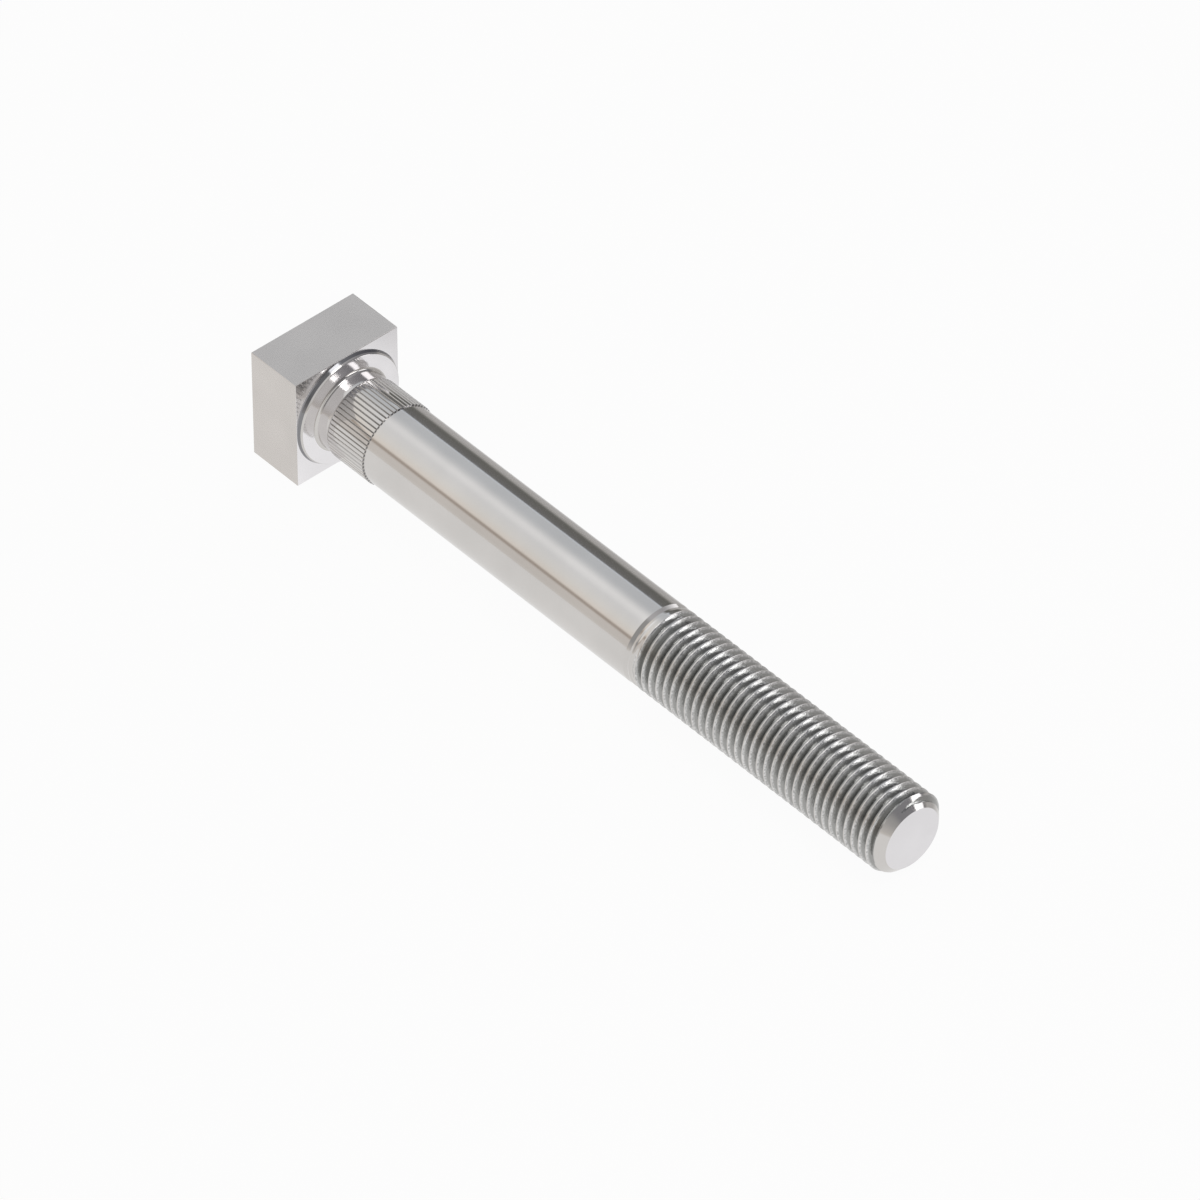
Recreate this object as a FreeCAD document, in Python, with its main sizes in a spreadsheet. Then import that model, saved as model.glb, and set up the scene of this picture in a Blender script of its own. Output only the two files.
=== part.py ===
import FreeCAD, Part
import os

import Sketcher
from FreeCAD import Vector

# Square head bolt, M22 x 2.5, with its axis along +X.
# The origin is the centre of the bearing face, which is the flat of the round boss under the head.
# The head lies on the -X side with two of its flats level, and the thread ends on the +X side.
# All lengths are in millimetres and all angles are in degrees.

NODE = "square_head_bolt"

# Each driving size: its name, its value and what it is.
DRIVING_SIZES = [
    ("head_width", 32.4, "across the flats of the square head"),
    ("head_height", 16.4, "thickness of the square head, without the boss"),
    ("boss_height", 1.25, "how far the bearing face stands off the head"),
    ("boss_base_diameter", 32.0, "round boss where it meets the head"),
    ("boss_face_diameter", 30.7, "bearing face, inside the boss's sloping rim"),
    ("neck_fillet", 0.8, "radius in the corner between bearing face and neck"),
    ("neck_length", 4.0, "plain neck between bearing face and knurl"),
    ("shank_diameter", 22.0, "neck, shank and thread crests"),
    ("knurl_height", 0.35, "how far the knurl's crests stand off the shank"),
    ("knurl_length", 13.25, "whole length of the knurl, with its lead"),
    ("knurl_lead", 0.8, "sloping start of the knurl's teeth"),
    ("knurl_teeth", 60, "straight teeth round the knurl"),
    ("knurl_floor", 0.04, "what the grooves between the teeth leave above the shank"),
    ("knurl_angle", 65, "angle between the two sides of a knurl groove"),
    ("bolt_length", 198.75, "bearing face to end face"),
    ("thread_length", 88.0, "thread, with its run-out ring and the end chamfer"),
    ("thread_pitch", 2.5, "from one crest of the coarse thread to the next"),
    ("crest_relief", 0.02, "how far the sharp crests stay below the shank's surface"),
    ("runout_length", 2.2, "shallow ring turned where the shank ends and the thread starts"),
    ("runout_depth", 0.3, "depth of that ring at its middle"),
    ("end_face_diameter", 16.8, "flat face at the thread's end"),
    ("end_chamfer_length", 2.4, "cone between the last thread and the end face"),
    ("cutter_overrun", 0.1, "how far a cutter's outline reaches past the surface that it cuts"),
]

# Each size that follows from the driving ones.
# The metric profile is 0.6134 of its pitch deep.
# The thread is one ring groove a pitch, with a sharp crest where one groove meets the next.
WORKED_OUT_SIZES = [
    ("head_half_width", "head_width / 2"),
    ("boss_base_radius", "boss_base_diameter / 2"),
    ("boss_face_radius", "boss_face_diameter / 2"),
    ("shank_radius", "shank_diameter / 2"),
    ("fillet_rim_radius", "shank_radius + neck_fillet"),
    ("knurl_crest_start", "neck_length + knurl_lead"),
    ("knurl_end", "neck_length + knurl_length"),
    ("knurl_radius", "shank_radius + knurl_height"),
    ("groove_root", "shank_radius + knurl_floor"),
    ("groove_top", "knurl_radius + cutter_overrun"),
    ("groove_half_width", "(groove_top - groove_root) * tan(knurl_angle * 0.5 * 1deg)"),
    ("groove_travel", "knurl_length + cutter_overrun"),
    ("runout_start", "bolt_length - thread_length"),
    ("runout_middle", "runout_start + runout_length / 2"),
    ("runout_end", "runout_start + runout_length"),
    ("runout_radius", "shank_radius - runout_depth"),
    ("chamfer_start", "bolt_length - end_chamfer_length"),
    ("end_face_radius", "end_face_diameter / 2"),
    ("thread_depth", "0.6134 * thread_pitch"),
    ("thread_root_radius", "shank_radius - thread_depth"),
    ("thread_crest_radius", "shank_radius - crest_relief"),
    ("thread_top_radius", "shank_radius + cutter_overrun"),
    ("flank_slope", "thread_pitch / 2 / (thread_crest_radius - thread_root_radius)"),
    ("ring_half_width", "(thread_top_radius - thread_root_radius) * flank_slope"),
    ("ring_centre", "runout_end + thread_pitch"),
    ("ring_left", "ring_centre - ring_half_width"),
    ("ring_right", "ring_centre + ring_half_width"),
    ("ring_count", "floor((chamfer_start - ring_centre) / thread_pitch) + 1"),
]


def write_sizes(doc):
    """The spreadsheet that holds every size, one to a row."""
    sheet = doc.addObject("Spreadsheet::Sheet", "Sizes")
    rows = [(name, str(value), meaning) for name, value, meaning in DRIVING_SIZES]
    rows += [(name, f"={rule}", "worked out") for name, rule in WORKED_OUT_SIZES]
    for row, (name, content, meaning) in enumerate(rows, start=1):
        sheet.set(f"A{row}", name)
        sheet.set(f"B{row}", content)
        sheet.set(f"C{row}", meaning)
        sheet.setAlias(f"B{row}", name)
    doc.recompute()
    return sheet


def origin_feature(body, role):
    """One of the body's own origin planes or axes."""
    for feature in body.Origin.OriginFeatures:
        if feature.Role == role:
            return feature
    raise ValueError(f"the body has no origin feature {role}")


def new_sketch(body, name, plane, offset=None):
    """A sketch on one of the body's origin planes, moved along the plane's normal by a size."""
    sketch = body.newObject("Sketcher::SketchObject", name)
    sketch.AttachmentSupport = [(origin_feature(body, plane), "")]
    sketch.MapMode = "FlatFace"
    if offset:
        sketch.setExpression("AttachmentOffset.Base.z", formula(offset))
    return sketch


def formula(size):
    """A size's name, with or without a minus sign, as an expression that reads the sheet."""
    if size.startswith("-"):
        return f"-Sizes.{size[1:]}"
    return f"Sizes.{size}"


def value(sheet, size):
    """What that size is at present. None stands for a point on the axis."""
    if size is None:
        return 0.0
    if size.startswith("-"):
        return -float(sheet.get(size[1:]))
    return float(sheet.get(size))


def hold(sketch, sheet, geometry, point, direction, size):
    """Ties one coordinate of a sketch point to a size, or puts the point on the sketch's axis."""
    if size is None:
        axis = -2 if direction == "DistanceX" else -1
        sketch.addConstraint(Sketcher.Constraint("PointOnObject", geometry, point, axis))
        return
    guess = value(sheet, size)
    index = sketch.addConstraint(Sketcher.Constraint(direction, -1, 1, geometry, point, guess))
    sketch.setExpression(f"Constraints[{index}]", formula(size))


def draw_outline(sketch, sheet, corners, arcs=None):
    """A closed outline whose corners are pairs of sizes.

    arcs gives, for the number of an edge that is a quarter round, the sizes of its centre.
    """
    arcs = arcs or {}
    points = [Vector(value(sheet, across), value(sheet, up), 0) for across, up in corners]
    count = len(corners)
    for i in range(count):
        start = points[i]
        end = points[(i + 1) % count]
        if i in arcs:
            centre = Vector(value(sheet, arcs[i][0]), value(sheet, arcs[i][1]), 0)
            radius = centre.distanceToPoint(start)
            middle = centre + (start + end - centre * 2).normalize() * radius
            sketch.addGeometry(Part.Arc(start, middle, end))
        else:
            sketch.addGeometry(Part.LineSegment(start, end))
    for i in range(count):
        sketch.addConstraint(Sketcher.Constraint("Coincident", i, 2, (i + 1) % count, 1))
    for i, (across, up) in enumerate(corners):
        hold(sketch, sheet, i, 1, "DistanceX", across)
        hold(sketch, sheet, i, 1, "DistanceY", up)
    for i, (across, up) in arcs.items():
        hold(sketch, sheet, i, 3, "DistanceX", across)


def turn_shank(body, sheet):
    """Boss, neck, knurl blank, shank and thread blank, turned in one outline about the bolt's axis."""
    sketch = new_sketch(body, "turned_outline", "XZ_Plane")
    corners = [
        ("-boss_height", None),
        ("-boss_height", "boss_base_radius"),
        (None, "boss_face_radius"),
        (None, "fillet_rim_radius"),
        ("neck_fillet", "shank_radius"),
        ("neck_length", "shank_radius"),
        ("knurl_crest_start", "knurl_radius"),
        ("knurl_end", "knurl_radius"),
        ("knurl_end", "shank_radius"),
        ("runout_start", "shank_radius"),
        ("runout_middle", "runout_radius"),
        ("runout_end", "shank_radius"),
        ("chamfer_start", "shank_radius"),
        ("bolt_length", "end_face_radius"),
        ("bolt_length", None),
    ]
    fillet_edge = corners.index((None, "fillet_rim_radius"))
    draw_outline(sketch, sheet, corners, {fillet_edge: ("neck_fillet", "fillet_rim_radius")})
    blank = body.newObject("PartDesign::Revolution", "turned_blank")
    blank.Profile = sketch
    blank.ReferenceAxis = (sketch, ["H_Axis"])
    blank.Angle = 360
    return blank


def forge_head(body, sheet):
    """The square head, which stands behind the boss on the -X side."""
    sketch = new_sketch(body, "head_square", "YZ_Plane", "-boss_height")
    corners = [
        ("-head_half_width", "-head_half_width"),
        ("head_half_width", "-head_half_width"),
        ("head_half_width", "head_half_width"),
        ("-head_half_width", "head_half_width"),
    ]
    draw_outline(sketch, sheet, corners)
    head = body.newObject("PartDesign::Pad", "head")
    head.Profile = sketch
    head.Reversed = True
    head.setExpression("Length", "Sizes.head_height")
    return head


def cut_knurl(body, sheet):
    """One V groove along the knurl, repeated round the axis, leaves the straight teeth."""
    sketch = new_sketch(body, "knurl_groove_outline", "YZ_Plane", "neck_length")
    corners = [
        (None, "groove_root"),
        ("groove_half_width", "groove_top"),
        ("-groove_half_width", "groove_top"),
    ]
    draw_outline(sketch, sheet, corners)
    groove = body.newObject("PartDesign::Pocket", "knurl_groove")
    groove.Profile = sketch
    groove.Reversed = True
    groove.setExpression("Length", "Sizes.groove_travel")
    pattern = body.newObject("PartDesign::PolarPattern", "knurl_grooves")
    pattern.Originals = [groove]
    pattern.Axis = (origin_feature(body, "X_Axis"), [""])
    pattern.Angle = 360
    pattern.setExpression("Occurrences", "Sizes.knurl_teeth")
    return pattern


def cut_thread(body, sheet):
    """One V groove turned round the axis and repeated at the pitch, from the run-out to the chamfer."""
    sketch = new_sketch(body, "thread_groove_outline", "XZ_Plane")
    corners = [
        ("ring_left", "thread_top_radius"),
        ("ring_centre", "thread_root_radius"),
        ("ring_right", "thread_top_radius"),
    ]
    draw_outline(sketch, sheet, corners)
    ring = body.newObject("PartDesign::Groove", "thread_groove")
    ring.Profile = sketch
    ring.ReferenceAxis = (sketch, ["H_Axis"])
    ring.Angle = 360
    pattern = body.newObject("PartDesign::LinearPattern", "thread_grooves")
    pattern.Originals = [ring]
    pattern.Direction = (origin_feature(body, "X_Axis"), [""])
    pattern.Mode = "Spacing"
    pattern.setExpression("Offset", "Sizes.thread_pitch")
    pattern.setExpression("Occurrences", "Sizes.ring_count")
    return pattern


def check(doc, body):
    """Stops before anything is written if a feature failed or the solid isn't whole."""
    for item in doc.Objects:
        if "Invalid" in item.State or "Error" in item.State:
            raise RuntimeError(f"{item.Name} failed: {item.State}")
    shape = body.Shape
    if shape.isNull() or not shape.isValid():
        raise RuntimeError("the bolt has no valid shape")
    if len(shape.Solids) != 1:
        raise RuntimeError(f"the bolt has {len(shape.Solids)} solids, not 1")


def main():
    doc = FreeCAD.newDocument("SquareHeadBolt")
    sheet = write_sizes(doc)
    body = doc.addObject("PartDesign::Body", "Bolt")
    body.Label = NODE
    turn_shank(body, sheet)
    forge_head(body, sheet)
    doc.recompute()
    whole = body.Shape.Volume
    body.Tip = cut_knurl(body, sheet)
    doc.recompute()
    knurled = body.Shape.Volume
    body.Tip = cut_thread(body, sheet)
    doc.recompute()
    threaded = body.Shape.Volume
    check(doc, body)
    if not whole > knurled > threaded:
        raise RuntimeError("the knurl or the thread removed nothing")
    os.makedirs("parts", exist_ok=True)
    body.Shape.exportStep(f"parts/{NODE}.step")
    print(f"volume {whole:.1f} blank, {knurled:.1f} knurled, {threaded:.1f} threaded mm3")


main()
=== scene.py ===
"""Looks of a square head bolt: one piece of bright machined steel, lying on a pale floor."""

import math

import bpy
import bmesh
from mathutils import Matrix, Vector


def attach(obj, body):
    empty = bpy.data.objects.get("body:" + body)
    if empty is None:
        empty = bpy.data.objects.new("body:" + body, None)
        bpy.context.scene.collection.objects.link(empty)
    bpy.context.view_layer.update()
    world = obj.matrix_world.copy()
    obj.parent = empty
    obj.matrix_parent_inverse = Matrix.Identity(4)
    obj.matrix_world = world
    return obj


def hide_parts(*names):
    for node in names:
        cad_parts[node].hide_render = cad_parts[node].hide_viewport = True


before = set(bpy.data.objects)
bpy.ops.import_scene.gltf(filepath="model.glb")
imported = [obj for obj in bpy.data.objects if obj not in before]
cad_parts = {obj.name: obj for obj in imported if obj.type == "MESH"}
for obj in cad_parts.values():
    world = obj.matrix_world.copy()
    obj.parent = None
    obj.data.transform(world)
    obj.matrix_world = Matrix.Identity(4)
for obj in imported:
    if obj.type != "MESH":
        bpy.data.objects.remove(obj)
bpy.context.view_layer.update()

# One millimetre in metres, which is what Blender counts in.
MM = 0.001

# Sizes of the bolt in millimetres, the same as in the part's source.
# The axis is X, and the origin is the centre of the bearing face.
HEAD_HALF = 16.2
HEAD_HEIGHT = 16.4
BOSS_HEIGHT = 1.25
BOSS_BASE_RADIUS = 16.0
BOSS_FACE_RADIUS = 15.35
NECK_FILLET = 0.8
NECK_LENGTH = 4.0
SHANK_RADIUS = 11.0
KNURL_RADIUS = 11.35
KNURL_ROOT = 11.04
KNURL_LEAD = 0.8
KNURL_END = 17.25
KNURL_TEETH = 60
RUNOUT_START = 110.75
RUNOUT_MIDDLE = 111.85
RUNOUT_END = 112.95
RUNOUT_RADIUS = 10.7
CHAMFER_START = 196.35
BOLT_LENGTH = 198.75
END_RADIUS = 8.4
PITCH = 2.5
THREAD_DEPTH = 1.5335

# The right-hand helix, which only the visual model has.
# Its first groove fades in between two places along the axis.
FLANK_ANGLE = 30
CREST_WIDTH = 0.3125
FIRST_GROOVE = 112.208
FADE_START = 112.73
FADE_END = 115.68

# Edges and small steps in millimetres, which only the visual model has.
# The head's edges are broken, and the boss starts a little inside the head.
# The crest of a knurl's tooth drops at its edges, and by as much at its end, over a short length.
# The floor of the groove between two teeth drops less at the end.
HEAD_EDGE = 0.15
BOSS_SINK = 0.05
TOOTH_EDGE = 0.03
TOOTH_END_LENGTH = 0.04
GROOVE_END_DROP = 0.01

# The rounded edge of the bearing face: x, and how far its radius is from the face's.
BOSS_EDGE = ((-0.08, 0.04), (0.0, -0.06))

# The rounded edge of the thread's crest: how far past the crest's edge, and how deep.
CREST_ROUNDING = ((-0.05, 0.0), (-0.01, 0.015), (0.02, 0.04), (0.06, 0.11))

# The rounded edge of the groove's floor: how far past the floor's edge, and how far above the floor.
FLOOR_ROUNDING = ((-0.07, 0.12), (0.06, 0.01))

# One tooth of the knurl, from the bottom of a groove over the crest: share of its pitch, and radius.
TOOTH_CORNERS = (
    (0.0, KNURL_ROOT),
    (0.15, KNURL_RADIUS - TOOTH_EDGE),
    (0.19, KNURL_RADIUS),
    (0.24, KNURL_RADIUS),
    (0.5, KNURL_RADIUS),
    (0.76, KNURL_RADIUS),
    (0.81, KNURL_RADIUS),
    (0.85, KNURL_RADIUS - TOOTH_EDGE),
)

# How finely the forms are divided. The thread is finer in a few turns at either end.
SHANK_SIDES = 320
THREAD_SIDES = 160
HEAD_EDGE_STEPS = 3
FILLET_STEPS = 8
SHANK_ROWS = 8
FINE_TURNS = 3
FINE_STEP = 0.12

# Extra rows of corners in millimetres, which keep smooth shading near an edge: after the fillet,
# before the knurl, and along the knurl's sloping lead.
ROW_AFTER_FILLET = 0.1
ROW_BEFORE_KNURL = 0.15
LEAD_ROWS = (0.3, 0.55)

# Corners nearer than this many metres become one.
MERGE_DISTANCE = 1e-7

# Edges that turn by more than this many degrees are sharp.
SHARP_ANGLE = 24

# A face larger than this, in square metres, is flat and keeps its own normal.
LARGE_FACE = 1e-4

# How near a corner lies to a row that it belongs to, in millimetres.
ROW_TOLERANCE = 0.001

# A face of the head whose normal has more than this part along X is on the bearing side.
BEARING_SIDE = 0.9

# The finishes, which are also the places of the materials on the piece.
TURNED = 0
FLAT = 1
POLISHED = 2
THREADED = 3
# Painted shade: dark steel on the boss's rim near the head and on the ends of the knurl's teeth.
PAINTED_SHADE_DARK = 4
# Painted shade: darker steel on the faces of the knurl's grooves.
PAINTED_SHADE_VALLEY = 5
BEARING = 6

# The share of the boss's rim that is bright, next to the bearing face. The rest, near the head, has painted
# shade.
BRIGHT_RIM_SHARE = 0.4

# The end of a tooth has painted shade between these shares of its pitch.
DARK_TOOTH_SHARES = (0.2, 0.8)

# The thread's finish, in millimetres: the x where it starts, and how deep the groove has to be to get it,
# on the bar and on the end cone.
CUT_START = RUNOUT_END + 1.0
CUT_DEPTH = 0.1
CUT_DEPTH_ON_CONE = 0.005

# Scales of the noises in the steel, along each axis in parts to a metre.
ROUND_GRAIN = (30000.0, 400.0, 400.0)
CUT_GRAIN = (1900.0, 1900.0, 1900.0)
FLAT_GRAIN = (3200.0, 3200.0, 3200.0)
STAIN_SCALE = (70.0, 70.0, 70.0)

# The part of a noise's range that is spread over the whole range of a value.
NOISE_MIDDLE = (0.3, 0.7)

# Depths under the crest, in millimetres, between which painted shade darkens the thread's groove.
PAINTED_GROOVE_SHADE_DEPTHS = (0.10, 0.75)

# The floor: half its side in metres, and a small gap in millimetres so that the bolt doesn't touch it.
FLOOR_HALF = 6.0
FLOOR_GAP = 0.03
FLOOR_COLOUR = (0.66, 0.645, 0.63)

# How white the floor looks to the camera, and to a mirror or glass in front of the bolt and behind it.
# It changes from front to behind between two places on the floor's Y axis, in metres.
CAMERA_WHITE = 0.955
FRONT_MIRROR_WHITE = 0.85
BEHIND_MIRROR_WHITE = 0.10
FRONT_TO_BEHIND = (0.015, 0.06)

# The point that the lamps face, near the middle of the bolt, in metres.
LAMP_TARGET = (0.09, 0, 0)

# The camera: degrees round from -Y towards +X, degrees up, the lens and film in millimetres,
# and in metres the nearest and furthest that it sees and its place.
CAMERA_AZIMUTH = 48.25
CAMERA_ELEVATION = 43.08
CAMERA_LENS = 323.2
CAMERA_FILM_WIDTH = 36.0
CAMERA_NEAREST = 0.1
CAMERA_FURTHEST = 50.0
CAMERA_PLACE = (1.48074, -1.24102, 1.74274)

# The studio around the bolt, as ramps of (place, colour). A place is the Z part or the X part of a
# direction whose length is 1, so 0 is level and 1 is straight up.
# The -Y side, by height: warm and light, with a darker ledge.
WARM_SIDE = (
    (0.0, (0.76, 0.73, 0.70)),
    (0.28, (0.78, 0.74, 0.71)),
    (0.34, (0.48, 0.42, 0.37)),
    (0.38, (0.48, 0.42, 0.37)),
    (0.44, (0.96, 0.90, 0.84)),
    (0.62, (0.95, 0.94, 0.92)),
    (0.80, (0.92, 0.93, 0.95)),
    (0.86, (1.12, 1.13, 1.15)),
)

# The +Y side, by height: a dark wall with a bright strip above it.
DARK_WALL = (
    (0.0, (0.28, 0.28, 0.27)),
    (0.20, (0.17, 0.17, 0.16)),
    (0.525, (0.20, 0.20, 0.20)),
    (0.555, (0.85, 0.92, 1.02)),
    (0.585, (0.68, 0.71, 0.75)),
)

# The far part of the +X side, by height: dark, and a little lighter above.
FAR_END = (
    (0.0, (0.27, 0.27, 0.28)),
    (0.30, (0.23, 0.23, 0.25)),
    (0.65, (0.33, 0.33, 0.35)),
    (1.0, (0.58, 0.58, 0.60)),
)

# The near part of the +X side, along X: dark, with a light part in it.
NEAR_END = (
    (0.02, (0.40, 0.40, 0.40)),
    (0.14, (0.15, 0.15, 0.15)),
    (0.28, (0.15, 0.15, 0.15)),
    (0.42, (0.82, 0.82, 0.83)),
    (0.76, (0.70, 0.69, 0.68)),
    (0.90, (0.42, 0.42, 0.42)),
    (1.00, (0.20, 0.20, 0.20)),
)

# The horizon and what lies under it, from the -Y side to the +Y side: warm and light, then darker.
HORIZON = (
    (0.0, (0.80, 0.77, 0.74)),
    (1.0, (0.45, 0.44, 0.43)),
)

# Parts of the studio with one colour: the sky, a bright panel at the wall's +X end, and the low part
# of the near end.
COOL_SKY = (0.68, 0.71, 0.75)
BRIGHT_PANEL = (1.50, 1.50, 1.54)
LOW_NEAR_END = (0.66, 0.64, 0.62)

# Where one part of the studio changes into the next, along the axis in the name.
WARM_TO_SKY_Y = (-0.05, 0.42)
SKY_TO_WALL_Y = (0.50, 0.60)
WALL_TO_PANEL_X = (-0.49, -0.42)
NEAR_END_TO_LOW_Z = (0.45, 0.05)
NEAR_TO_FAR_END_Y = (-0.22, 0.04)
SIDES_TO_END_X = (-0.32, -0.12)
WARM_TO_DARK_HORIZON_Y = (-0.1, 0.1)
STUDIO_TO_HORIZON_Z = (0.12, 0.0)

# A bright window: its direction, and how nearly a ray has to point there.
WINDOW_DIRECTION = (0.54, 0.80, 0.26)
WINDOW_EDGE = (0.980, 0.992)
WINDOW_COLOUR = (1.80, 1.80, 1.85)


class Skin:
    """Collects corners and faces of the piece before they become one mesh."""

    def __init__(self):
        self.corners = []
        self.faces = []
        self.finishes = []

    def add_ring(self, along, radii, angles):
        """One ring of corners round the axis, each with its own x, radius and angle."""
        first = len(self.corners)
        for x, radius, angle in zip(along, radii, angles):
            self.corners.append((x * MM, radius * math.cos(angle) * MM, radius * math.sin(angle) * MM))
        return list(range(first, len(self.corners)))

    def add_circle(self, x, radius, angles):
        """A ring with one x and one radius."""
        return self.add_ring([x] * len(angles), [radius] * len(angles), angles)

    def add_face(self, corners, finish):
        """One face with its finish."""
        self.faces.append(corners)
        self.finishes.append(finish)

    def join(self, ring, other, finishes):
        """A closed band of faces between two rings, with a finish for each face."""
        for i, finish in enumerate(finishes):
            j = (i + 1) % len(ring)
            self.add_face((ring[i], other[i], other[j], ring[j]), finish)

    def cap(self, ring, centre_x, finish):
        """Closes a ring with a fan of triangles."""
        centre = len(self.corners)
        self.corners.append((centre_x * MM, 0.0, 0.0))
        for i, corner in enumerate(ring):
            self.add_face((corner, centre, ring[(i + 1) % len(ring)]), finish)


def held(value, low, high):
    """The value, held between two limits."""
    return min(max(value, low), high)


def full_circle(count):
    """Angles that divide a whole turn into equal parts."""
    return [2 * math.pi * i / count for i in range(count)]


def turn(skin, outline, angles):
    """A turned form from rows of (x, radius, finish). A finish is that of the band before its row."""
    previous = None
    for x, radius, finish in outline:
        ring = skin.add_circle(x, radius, angles)
        if previous:
            skin.join(previous, ring, [finish] * len(ring))
        previous = ring
    return previous


def build_head(skin):
    """The square head with its edges broken very slightly."""
    bm = bmesh.new()
    bmesh.ops.create_cube(bm, size=1.0)
    size = Vector((HEAD_HEIGHT, 2 * HEAD_HALF, 2 * HEAD_HALF)) * MM
    bmesh.ops.scale(bm, vec=size, verts=bm.verts)
    middle = Vector((-BOSS_HEIGHT - HEAD_HEIGHT / 2, 0, 0)) * MM
    bmesh.ops.translate(bm, vec=middle, verts=bm.verts)
    bmesh.ops.bevel(
        bm, geom=bm.edges[:], offset=HEAD_EDGE * MM, segments=HEAD_EDGE_STEPS, profile=0.5, affect="EDGES",
    )
    first = len(skin.corners)
    bm.verts.index_update()
    skin.corners.extend(tuple(vertex.co) for vertex in bm.verts)
    for face in bm.faces:
        corners = tuple(first + vertex.index for vertex in face.verts)
        skin.add_face(corners, BEARING if face.normal.x > BEARING_SIDE else FLAT)
    bm.free()


def boss_outline():
    """The round boss under the head: its sloping rim, with painted shade near the head, and the bearing
    face.
    """
    bright_radius = BRIGHT_RIM_SHARE * BOSS_BASE_RADIUS + (1 - BRIGHT_RIM_SHARE) * BOSS_FACE_RADIUS
    rows = [
        (-BOSS_HEIGHT - BOSS_SINK, BOSS_BASE_RADIUS, TURNED),
        (-BOSS_HEIGHT, BOSS_BASE_RADIUS, PAINTED_SHADE_DARK),
        (-BRIGHT_RIM_SHARE * BOSS_HEIGHT, bright_radius, PAINTED_SHADE_DARK),
    ]
    for x, step in BOSS_EDGE:
        rows.append((x, BOSS_FACE_RADIUS + step, TURNED))
    for radius in ((BOSS_FACE_RADIUS + SHANK_RADIUS) / 2, SHANK_RADIUS + NECK_FILLET):
        rows.append((0.0, radius, BEARING))
    return rows


def neck_outline():
    """The quarter round after the bearing face, and the plain neck."""
    rows = []
    for i in range(1, FILLET_STEPS + 1):
        angle = math.radians(90 * i / FILLET_STEPS)
        x = NECK_FILLET * (1 - math.cos(angle))
        radius = SHANK_RADIUS + NECK_FILLET * (1 - math.sin(angle))
        rows.append((x, radius, TURNED))
    for x in (NECK_FILLET + ROW_AFTER_FILLET, NECK_LENGTH - ROW_BEFORE_KNURL, NECK_LENGTH):
        rows.append((x, SHANK_RADIUS, TURNED))
    return rows


def shank_outline():
    """The plain shank, and the first half of the run-out ring."""
    rows = []
    for i in range(SHANK_ROWS + 1):
        x = KNURL_END + (RUNOUT_START - KNURL_END) * i / SHANK_ROWS
        rows.append((x, SHANK_RADIUS, TURNED))
    rows.append((RUNOUT_MIDDLE, RUNOUT_RADIUS, TURNED))
    return rows


def tooth_ring():
    """The angle and the radius of each corner of the knurl's teeth, all the way round."""
    pitch = 2 * math.pi / KNURL_TEETH
    angles = []
    radii = []
    for tooth in range(KNURL_TEETH):
        for share, radius in TOOTH_CORNERS:
            angles.append((tooth + share) * pitch)
            radii.append(radius)
    return angles, radii


def band_finishes(marked, finish, other_finish):
    """The finish of each face of a band: the first between two marked corners, and the second elsewhere."""
    following = marked[1:] + marked[:1]
    return [finish if here and there else other_finish for here, there in zip(marked, following)]


def build_knurl(skin, start_ring, angles, radii):
    """The straight teeth: a sloping start, long crests and a square end with a rounded edge."""
    slope = (KNURL_RADIUS - SHANK_RADIUS) / KNURL_LEAD
    groove_start = (KNURL_ROOT - SHANK_RADIUS) / slope
    rows = []
    for distance in (groove_start, *LEAD_ROWS, KNURL_LEAD):
        lead_radius = SHANK_RADIUS + slope * distance
        rows.append((NECK_LENGTH + distance, [min(lead_radius, radius) for radius in radii]))
    for x, drop in ((KNURL_END - TOOTH_END_LENGTH, 0.0), (KNURL_END, TOOTH_EDGE)):
        rows.append((x, [max(KNURL_ROOT - GROOVE_END_DROP, radius - drop) for radius in radii]))

    # The faces of the grooves between the crests get darker steel, as painted shade.
    on_crest = [radius == KNURL_RADIUS for radius in radii]
    finishes = band_finishes(on_crest, TURNED, PAINTED_SHADE_VALLEY)
    previous = start_ring
    for x, row_radii in rows:
        ring = skin.add_ring([x] * len(angles), row_radii, angles)
        skin.join(previous, ring, finishes)
        previous = ring

    # The square end of each tooth gets dark steel, as painted shade; the gaps between the teeth stay
    # turned.
    low, high = DARK_TOOTH_SHARES
    dark = [low < share < high for share, radius in TOOTH_CORNERS] * KNURL_TEETH
    end = skin.add_circle(KNURL_END, SHANK_RADIUS, angles)
    skin.join(previous, end, band_finishes(dark, PAINTED_SHADE_DARK, TURNED))


def bar_radius(x):
    """The bar that the thread is cut into: run-out ring, cylinder and end cone."""
    if x < RUNOUT_END:
        share = (x - RUNOUT_MIDDLE) / (RUNOUT_END - RUNOUT_MIDDLE)
        return RUNOUT_RADIUS + (SHANK_RADIUS - RUNOUT_RADIUS) * share
    if x > CHAMFER_START:
        share = (x - CHAMFER_START) / (BOLT_LENGTH - CHAMFER_START)
        return SHANK_RADIUS + (END_RADIUS - SHANK_RADIUS) * share
    return SHANK_RADIUS


def groove_corners():
    """The groove's corners over one pitch, as (distance from the groove's middle, depth)."""
    top = (PITCH - CREST_WIDTH) / 2
    floor = top - THREAD_DEPTH * math.tan(math.radians(FLANK_ANGLE))
    half = [(step - top, depth) for step, depth in CREST_ROUNDING]
    half += [(step - floor, THREAD_DEPTH - rise) for step, rise in FLOOR_ROUNDING]
    other_half = [(-distance, depth) for distance, depth in reversed(half)]
    return half + other_half


def groove_profile(fine):
    """The groove's corners, with more between them where the thread is fine."""
    corners = groove_corners()
    rows = []
    for (start, start_depth), (end, end_depth) in zip(corners, corners[1:]):
        parts = max(1, round((end - start) / FINE_STEP)) if fine else 1
        for i in range(parts):
            share = i / parts
            rows.append((start + (end - start) * share, start_depth + (end_depth - start_depth) * share))
    rows.append(corners[-1])
    return rows


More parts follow.
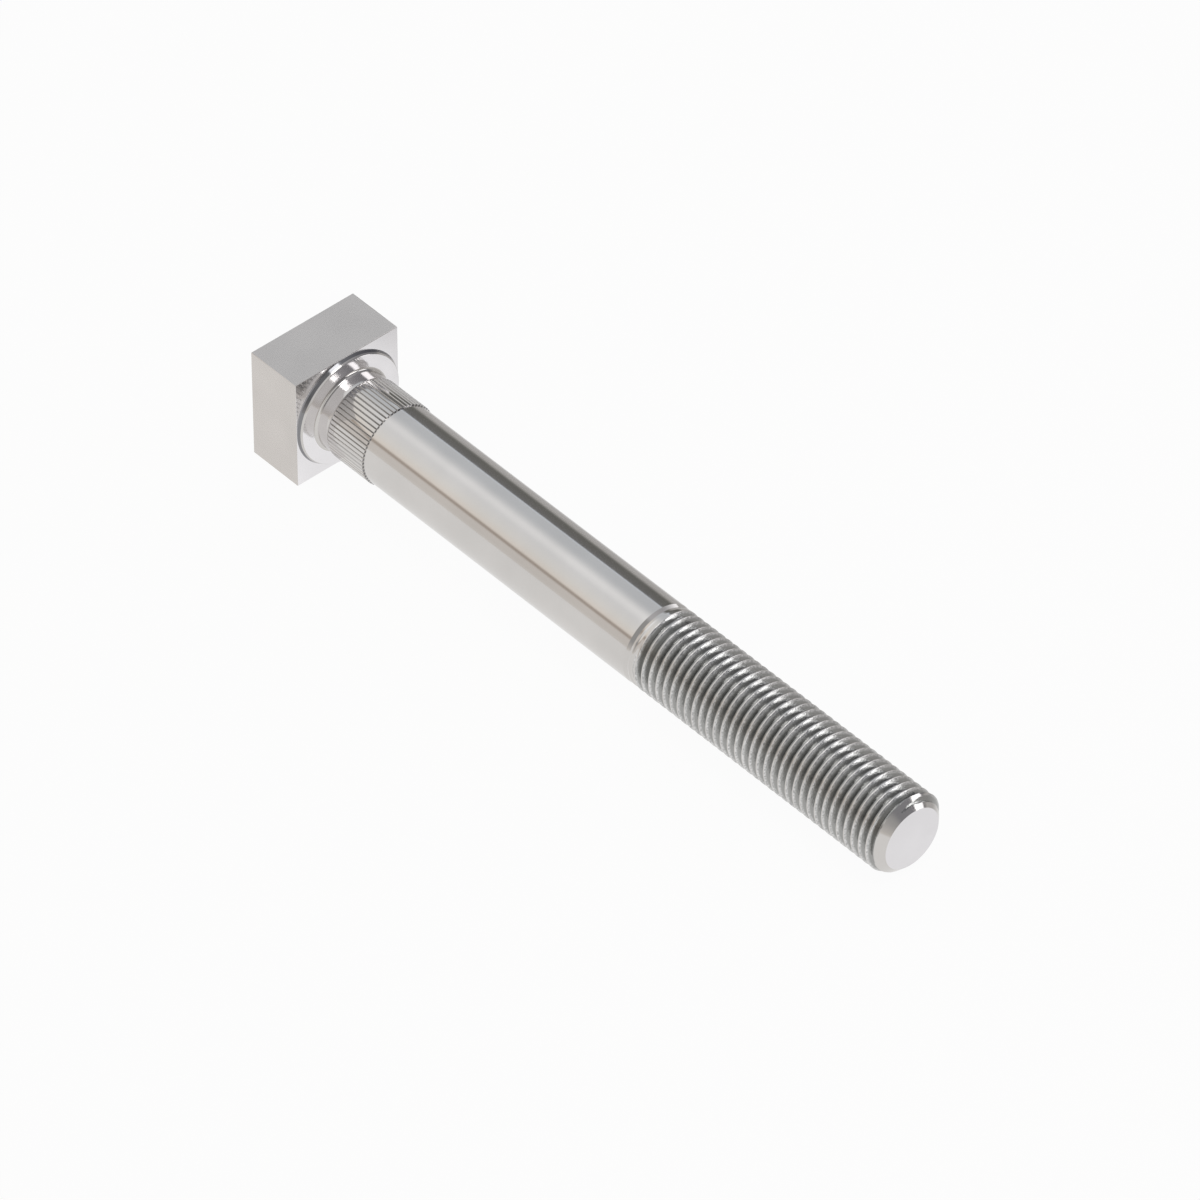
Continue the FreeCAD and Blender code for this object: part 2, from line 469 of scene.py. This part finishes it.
def thread_corner(turn_number, angle, offset, depth):
    """One corner of the thread as x and radius, and whether the groove cuts into the bar there."""
    middle = FIRST_GROOVE + PITCH * (turn_number + angle / (2 * math.pi))
    x = held(middle + offset, RUNOUT_MIDDLE, BOLT_LENGTH)
    fade = held((middle - FADE_START) / (FADE_END - FADE_START), 0.0, 1.0)
    bar = bar_radius(x)
    radius = min(bar, SHANK_RADIUS - fade * depth)
    least_depth = CUT_DEPTH if x < CHAMFER_START else CUT_DEPTH_ON_CONE
    cut = radius < bar - least_depth and x > CUT_START
    return x, radius, cut


def join_thread(skin, ring, other, cut, other_cut):
    """A band of the thread. What the groove doesn't cut keeps the turned finish."""
    for i in range(len(ring) - 1):
        j = i + 1
        touched = cut[i] or cut[j] or other_cut[i] or other_cut[j]
        skin.add_face((ring[i], other[i], other[j], ring[j]), THREADED if touched else TURNED)


def build_thread(skin):
    """The helical groove as a sheared grid: each row follows the helix and is held between the two ends."""
    angles = [2 * math.pi * i / THREAD_SIDES for i in range(THREAD_SIDES + 1)]
    turns = int((BOLT_LENGTH - FIRST_GROOVE) / PITCH) + 2
    previous = None
    previous_cut = None
    for turn_number in range(-1, turns):
        fine = turn_number < FINE_TURNS or turn_number >= turns - FINE_TURNS
        for offset, depth in groove_profile(fine):
            row = [thread_corner(turn_number, angle, offset, depth) for angle in angles]
            along, radii, cut = zip(*row)
            ring = skin.add_ring(along, radii, angles)
            if previous:
                join_thread(skin, previous, ring, previous_cut, cut)
            previous = ring
            previous_cut = cut


def collect_skin():
    """All forms of the bolt, from the head to the end face."""
    skin = Skin()
    build_head(skin)
    angles, radii = tooth_ring()
    neck_end = turn(skin, boss_outline() + neck_outline(), angles)
    build_knurl(skin, neck_end, angles, radii)
    turn(skin, shank_outline(), full_circle(SHANK_SIDES))
    build_thread(skin)
    end = skin.add_circle(BOLT_LENGTH, END_RADIUS, full_circle(THREAD_SIDES))
    skin.cap(end, BOLT_LENGTH, POLISHED)
    return skin


def make_mesh(skin):
    """The collected faces as one mesh, in which neighbouring forms share their corners."""
    mesh = bpy.data.meshes.new("steel_bolt")
    mesh.from_pydata(skin.corners, [], skin.faces)
    for polygon, finish in zip(mesh.polygons, skin.finishes):
        polygon.material_index = finish
    bm = bmesh.new()
    bm.from_mesh(mesh)
    bmesh.ops.remove_doubles(bm, verts=bm.verts, dist=MERGE_DISTANCE)
    bmesh.ops.dissolve_degenerate(bm, edges=bm.edges, dist=MERGE_DISTANCE)
    bmesh.ops.recalc_face_normals(bm, faces=bm.faces)
    bm.to_mesh(mesh)
    bm.free()
    return mesh


def mark_sharp_edges(mesh):
    """Sharpens the start and the middle of the run-out ring, and the groove's border on the end cone."""
    bm = bmesh.new()
    bm.from_mesh(mesh)
    for edge in bm.edges:
        ends = [vertex.co.x / MM for vertex in edge.verts]
        for row in (RUNOUT_START, RUNOUT_MIDDLE):
            if max(abs(end - row) for end in ends) < ROW_TOLERANCE:
                edge.smooth = False
        finishes = {face.material_index for face in edge.link_faces}
        if min(ends) > CHAMFER_START and len(finishes) > 1:
            edge.smooth = False
    bm.to_mesh(mesh)
    bm.free()


def build_bolt():
    """The whole bolt as one mesh: round forms are shaded smooth, and edges and flat faces stay crisp."""
    mesh = make_mesh(collect_skin())
    mesh.set_sharp_from_angle(angle=math.radians(SHARP_ANGLE))
    mark_sharp_edges(mesh)
    for polygon in mesh.polygons:
        polygon.use_smooth = polygon.area < LARGE_FACE
    bolt = bpy.data.objects.new("steel_bolt", mesh)
    bpy.context.scene.collection.objects.link(bolt)
    return bolt


def new_material(name):
    """A material, its node tree, and the output node, which is the only one in it."""
    material = bpy.data.materials.new(name)
    material.use_nodes = True
    tree = material.node_tree
    tree.nodes.clear()
    output = tree.nodes.new("ShaderNodeOutputMaterial")
    return material, tree, output


def add_noise(tree, coordinates, scale, detail):
    """Noise that is stretched by a different scale along each axis."""
    mapping = tree.nodes.new("ShaderNodeMapping")
    mapping.inputs["Scale"].default_value = scale
    noise = tree.nodes.new("ShaderNodeTexNoise")
    noise.inputs["Scale"].default_value = 1.0
    noise.inputs["Detail"].default_value = detail
    tree.links.new(coordinates, mapping.inputs["Vector"])
    tree.links.new(mapping.outputs["Vector"], noise.inputs["Vector"])
    return noise.outputs["Fac"]


def add_range(tree, value, low, high):
    """Spreads the middle of a noise between two values."""
    node = tree.nodes.new("ShaderNodeMapRange")
    node.inputs["From Min"].default_value = NOISE_MIDDLE[0]
    node.inputs["From Max"].default_value = NOISE_MIDDLE[1]
    node.inputs["To Min"].default_value = low
    node.inputs["To Max"].default_value = high
    tree.links.new(value, node.inputs["Value"])
    return node.outputs["Result"]


def add_step(tree, value, start, end):
    """0 on the start's side of a range, 1 on the end's side, and a smooth rise between them."""
    node = tree.nodes.new("ShaderNodeMapRange")
    node.interpolation_type = "SMOOTHSTEP"
    node.inputs["From Min"].default_value = start
    node.inputs["From Max"].default_value = end
    tree.links.new(value, node.inputs["Value"])
    return node.outputs["Result"]


def add_ramp(tree, value, stops):
    """A colour ramp from (position, colour) pairs."""
    node = tree.nodes.new("ShaderNodeValToRGB")
    elements = node.color_ramp.elements
    for i, (position, colour) in enumerate(stops):
        element = elements[i] if i < 2 else elements.new(position)
        element.position = position
        element.color = (*colour, 1.0)
    tree.links.new(value, node.inputs["Fac"])
    return node.outputs["Color"]


def add_mix(tree, share, colour, over):
    """A colour with another one laid over it by a share. Either may be a plain colour."""
    node = tree.nodes.new("ShaderNodeMix")
    node.data_type = "RGBA"
    tree.links.new(share, node.inputs["Factor"])
    for name, given in (("A", colour), ("B", over)):
        socket = next(s for s in node.inputs if s.name == name and s.type == "RGBA")
        if isinstance(given, tuple):
            socket.default_value = (*given, 1.0)
        else:
            tree.links.new(given, socket)
    return next(s for s in node.outputs if s.type == "RGBA")


def add_axes(tree, place):
    """The three parts of a place or direction, as X, Y and Z."""
    split = tree.nodes.new("ShaderNodeSeparateXYZ")
    tree.links.new(place, split.inputs["Vector"])
    return split.outputs


def add_painted_groove_shade(tree, place, colour, dark):
    """Painted shade: darker towards the bottom of the thread's groove."""
    axes = add_axes(tree, place)
    from_axis = tree.nodes.new("ShaderNodeCombineXYZ")
    distance = tree.nodes.new("ShaderNodeVectorMath")
    distance.operation = "LENGTH"
    tree.links.new(axes["Y"], from_axis.inputs["Y"])
    tree.links.new(axes["Z"], from_axis.inputs["Z"])
    tree.links.new(from_axis.outputs["Vector"], distance.inputs[0])
    start, full = [(SHANK_RADIUS - depth) * MM for depth in PAINTED_GROOVE_SHADE_DEPTHS]
    shade = add_step(tree, distance.outputs["Value"], start, full)
    return add_mix(tree, shade, colour, dark)


def add_tone(tree, grain, stain, speckle, tint, darkest, tone_range):
    """The steel's tint, darkened where a blend of the grain and the slow stain is low."""
    blend = tree.nodes.new("ShaderNodeMix")
    blend.data_type = "FLOAT"
    blend.inputs["Factor"].default_value = speckle
    tree.links.new(stain, blend.inputs["A"])
    tree.links.new(grain, blend.inputs["B"])
    dark_tint = tuple(part * darkest for part in tint)
    low, high = tone_range
    return add_ramp(tree, blend.outputs["Result"], ((low, dark_tint), (high, tint)))


def make_steel(
    name, tint, roughness, grain_scale, grain_height,
    groove=None, speckle=0.0, darkest=0.93, tone_range=NOISE_MIDDLE,
):
    """Bare steel: fine grain in the relief, and slow changes of gloss and tone.

    roughness has its two limits, and grain_height is in metres.
    speckle is the grain's share in the changes of tone, and darkest is the lowest tone's share of the tint.
    The colour given for the bottom of a thread's groove is painted shade.
    """
    material, tree, output = new_material(name)
    shader = tree.nodes.new("ShaderNodeBsdfPrincipled")
    shader.inputs["Metallic"].default_value = 1.0
    tree.links.new(shader.outputs["BSDF"], output.inputs["Surface"])
    place = tree.nodes.new("ShaderNodeTexCoord").outputs["Object"]

    grain = add_noise(tree, place, grain_scale, detail=3.0)
    stain = add_noise(tree, place, STAIN_SCALE, detail=4.0)
    tree.links.new(add_range(tree, grain, *roughness), shader.inputs["Roughness"])

    colour = add_tone(tree, grain, stain, speckle, tint, darkest, tone_range)
    if groove:
        colour = add_painted_groove_shade(tree, place, colour, groove)
    tree.links.new(colour, shader.inputs["Base Color"])

    bump = tree.nodes.new("ShaderNodeBump")
    bump.inputs["Strength"].default_value = 1.0
    bump.inputs["Distance"].default_value = grain_height
    tree.links.new(grain, bump.inputs["Height"])
    tree.links.new(bump.outputs["Normal"], shader.inputs["Normal"])
    return material


def make_finishes():
    """The steel of each finish."""
    return {
        TURNED: make_steel("turned_steel", (0.66, 0.64, 0.62), (0.07, 0.13), ROUND_GRAIN, 2e-7),
        FLAT: make_steel("flat_steel", (0.67, 0.635, 0.605), (0.22, 0.30), FLAT_GRAIN, 4e-7),
        POLISHED: make_steel("polished_steel", (0.80, 0.785, 0.80), (0.09, 0.15), FLAT_GRAIN, 8e-7),
        # The thread's steel has painted shade towards the bottom of its groove.
        THREADED: make_steel(
            "thread_steel_painted_groove_shade", (0.80, 0.795, 0.79), (0.12, 0.26), CUT_GRAIN, 4e-5,
            groove=(0.37, 0.37, 0.36), speckle=0.85, darkest=0.55, tone_range=(0.38, 0.62),
        ),
        # Painted shade: dark steel for the boss's rim near the head and the ends of the knurl's teeth.
        PAINTED_SHADE_DARK: make_steel("painted_shade_dark_steel", (0.27, 0.27, 0.28), (0.08, 0.14), FLAT_GRAIN, 6e-7),
        # Painted shade: darker steel for the faces of the knurl's grooves.
        PAINTED_SHADE_VALLEY: make_steel("valley_painted_shade_steel", (0.52, 0.505, 0.49), (0.12, 0.2), FLAT_GRAIN, 6e-7),
        BEARING: make_steel("bearing_steel", (0.90, 0.885, 0.90), (0.09, 0.15), FLAT_GRAIN, 8e-7),
    }


def dress_bolt():
    """The detailed bolt with its finishes, in place of the plain solid."""
    bolt = build_bolt()
    finishes = make_finishes()
    for finish in sorted(finishes):
        bolt.data.materials.append(finishes[finish])
    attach(bolt, "root")
    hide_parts("square_head_bolt")


def add_floor_white(tree):
    """How white the floor looks to the camera, a mirror or glass. To anything else it is matte."""
    place = tree.nodes.new("ShaderNodeTexCoord").outputs["Object"]
    behind = add_step(tree, add_axes(tree, place)["Y"], *FRONT_TO_BEHIND)
    mirror_white = tree.nodes.new("ShaderNodeMapRange")
    mirror_white.inputs["To Min"].default_value = FRONT_MIRROR_WHITE
    mirror_white.inputs["To Max"].default_value = BEHIND_MIRROR_WHITE
    tree.links.new(behind, mirror_white.inputs["Value"])

    path = tree.nodes.new("ShaderNodeLightPath")
    camera_white = tree.nodes.new("ShaderNodeMath")
    camera_white.operation = "MULTIPLY"
    camera_white.inputs[1].default_value = CAMERA_WHITE
    tree.links.new(path.outputs["Is Camera Ray"], camera_white.inputs[0])
    white = camera_white.outputs["Value"]
    for ray in ("Is Glossy Ray", "Is Transmission Ray"):
        term = tree.nodes.new("ShaderNodeMath")
        term.operation = "MULTIPLY_ADD"
        tree.links.new(path.outputs[ray], term.inputs[0])
        tree.links.new(mirror_white.outputs["Result"], term.inputs[1])
        tree.links.new(white, term.inputs[2])
        white = term.outputs["Value"]
    return white


def make_floor_material():
    """Pale matte floor that a camera, a mirror or glass sees as nearly white, with a soft shadow on it."""
    material, tree, output = new_material("pale_floor")
    matte = tree.nodes.new("ShaderNodeBsdfDiffuse")
    matte.inputs["Color"].default_value = (*FLOOR_COLOUR, 1.0)
    glow = tree.nodes.new("ShaderNodeEmission")
    glow.inputs["Color"].default_value = (1.0, 1.0, 1.0, 1.0)
    glow.inputs["Strength"].default_value = 1.0
    mix = tree.nodes.new("ShaderNodeMixShader")
    tree.links.new(add_floor_white(tree), mix.inputs["Fac"])
    tree.links.new(matte.outputs["BSDF"], mix.inputs[1])
    tree.links.new(glow.outputs["Emission"], mix.inputs[2])
    tree.links.new(mix.outputs["Shader"], output.inputs["Surface"])
    return material


def make_floor():
    """A square floor that slopes from the head's lower edge to the last thread, as the bolt lies on it."""
    low_edge = Vector((-BOSS_HEIGHT, 0, -HEAD_HALF)) * MM
    tip = Vector((CHAMFER_START, 0, -SHANK_RADIUS)) * MM
    along = (tip - low_edge).normalized()
    across = Vector((0, 1, 0))
    up = along.cross(across)
    middle = (low_edge + tip) / 2 - up * FLOOR_GAP * MM
    corners = []
    for x_side, y_side in ((-1, -1), (1, -1), (1, 1), (-1, 1)):
        corners.append(tuple(middle + along * x_side * FLOOR_HALF + across * y_side * FLOOR_HALF))
    mesh = bpy.data.meshes.new("floor")
    mesh.from_pydata(corners, [], [(0, 1, 2, 3)])
    mesh.materials.append(make_floor_material())
    floor = bpy.data.objects.new("floor", mesh)
    bpy.context.scene.collection.objects.link(floor)


def make_softbox(name, direction, distance, size, brightness):
    """A square lamp that faces the middle of the bolt. Its face is as bright as said, where 1 is white."""
    toward = Vector(direction).normalized()
    light = bpy.data.lights.new(name, "AREA")
    light.shape = "SQUARE"
    light.size = size
    light.energy = brightness * math.pi * size * size
    lamp = bpy.data.objects.new(name, light)
    lamp.location = Vector(LAMP_TARGET) + toward * distance
    lamp.rotation_mode = "QUATERNION"
    lamp.rotation_quaternion = toward.to_track_quat("Z", "Y")
    bpy.context.scene.collection.objects.link(lamp)


def add_long_sides(tree, axes):
    """The sides along the bolt: warm towards -Y, cool above, and the wall and its panel towards +Y."""
    warm = add_ramp(tree, axes["Z"], WARM_SIDE)
    sides = add_mix(tree, add_step(tree, axes["Y"], *WARM_TO_SKY_Y), warm, COOL_SKY)
    wall = add_ramp(tree, axes["Z"], DARK_WALL)
    wall = add_mix(tree, add_step(tree, axes["X"], *WALL_TO_PANEL_X), wall, BRIGHT_PANEL)
    return add_mix(tree, add_step(tree, axes["Y"], *SKY_TO_WALL_Y), sides, wall)


def add_end(tree, axes):
    """The +X side, which the thread points to."""
    near = add_ramp(tree, axes["X"], NEAR_END)
    near = add_mix(tree, add_step(tree, axes["Z"], *NEAR_END_TO_LOW_Z), near, LOW_NEAR_END)
    far = add_ramp(tree, axes["Z"], FAR_END)
    return add_mix(tree, add_step(tree, axes["Y"], *NEAR_TO_FAR_END_Y), near, far)


def add_window(tree, direction, colour):
    """The studio's colour with a small bright window in it."""
    nearness = tree.nodes.new("ShaderNodeVectorMath")
    nearness.operation = "DOT_PRODUCT"
    nearness.inputs[1].default_value = Vector(WINDOW_DIRECTION).normalized()
    tree.links.new(direction, nearness.inputs[0])
    return add_mix(tree, add_step(tree, nearness.outputs["Value"], *WINDOW_EDGE), colour, WINDOW_COLOUR)


def add_studio(tree, direction):
    """The colour of the studio in each direction."""
    axes = add_axes(tree, direction)
    colour = add_long_sides(tree, axes)
    colour = add_mix(tree, add_step(tree, axes["X"], *SIDES_TO_END_X), colour, add_end(tree, axes))
    horizon = add_ramp(tree, add_step(tree, axes["Y"], *WARM_TO_DARK_HORIZON_Y), HORIZON)
    colour = add_mix(tree, add_step(tree, axes["Z"], *STUDIO_TO_HORIZON_Z), colour, horizon)
    return add_window(tree, direction, colour)


def make_world():
    """The studio as the world that lights the bolt and shows in its steel."""
    world = bpy.data.worlds.new("studio")
    bpy.context.scene.world = world
    world.use_nodes = True
    tree = world.node_tree
    tree.nodes.clear()
    output = tree.nodes.new("ShaderNodeOutputWorld")
    background = tree.nodes.new("ShaderNodeBackground")
    background.inputs["Strength"].default_value = 1.0
    direction = tree.nodes.new("ShaderNodeTexCoord").outputs["Generated"]
    tree.links.new(add_studio(tree, direction), background.inputs["Color"])
    tree.links.new(background.outputs["Background"], output.inputs["Surface"])


def make_camera():
    """A long lens, seen from the thread's end, the -Y side and above."""
    azimuth = math.radians(CAMERA_AZIMUTH)
    elevation = math.radians(CAMERA_ELEVATION)
    back = Vector((
        math.sin(azimuth) * math.cos(elevation),
        -math.cos(azimuth) * math.cos(elevation),
        math.sin(elevation),
    ))
    right = (-back).cross(Vector((0, 0, 1))).normalized()
    up = back.cross(right)
    settings = bpy.data.cameras.new("camera")
    settings.sensor_width = CAMERA_FILM_WIDTH
    settings.lens = CAMERA_LENS
    settings.clip_start = CAMERA_NEAREST
    settings.clip_end = CAMERA_FURTHEST
    camera = bpy.data.objects.new("camera", settings)
    bpy.context.scene.collection.objects.link(camera)
    camera.rotation_mode = "QUATERNION"
    camera.rotation_quaternion = Matrix((right, up, back)).transposed().to_quaternion()
    camera.location = CAMERA_PLACE
    bpy.context.scene.camera = camera


make_camera()
make_world()
make_floor()
make_softbox("softbox_side", direction=(0.80, 0.56, 0.22), distance=0.9, size=0.26, brightness=2.6)
make_softbox("softbox_top", direction=(0.34, 0.05, 0.94), distance=0.9, size=0.32, brightness=3.2)
dress_bolt()
bpy.context.scene.view_settings.view_transform = "Standard"
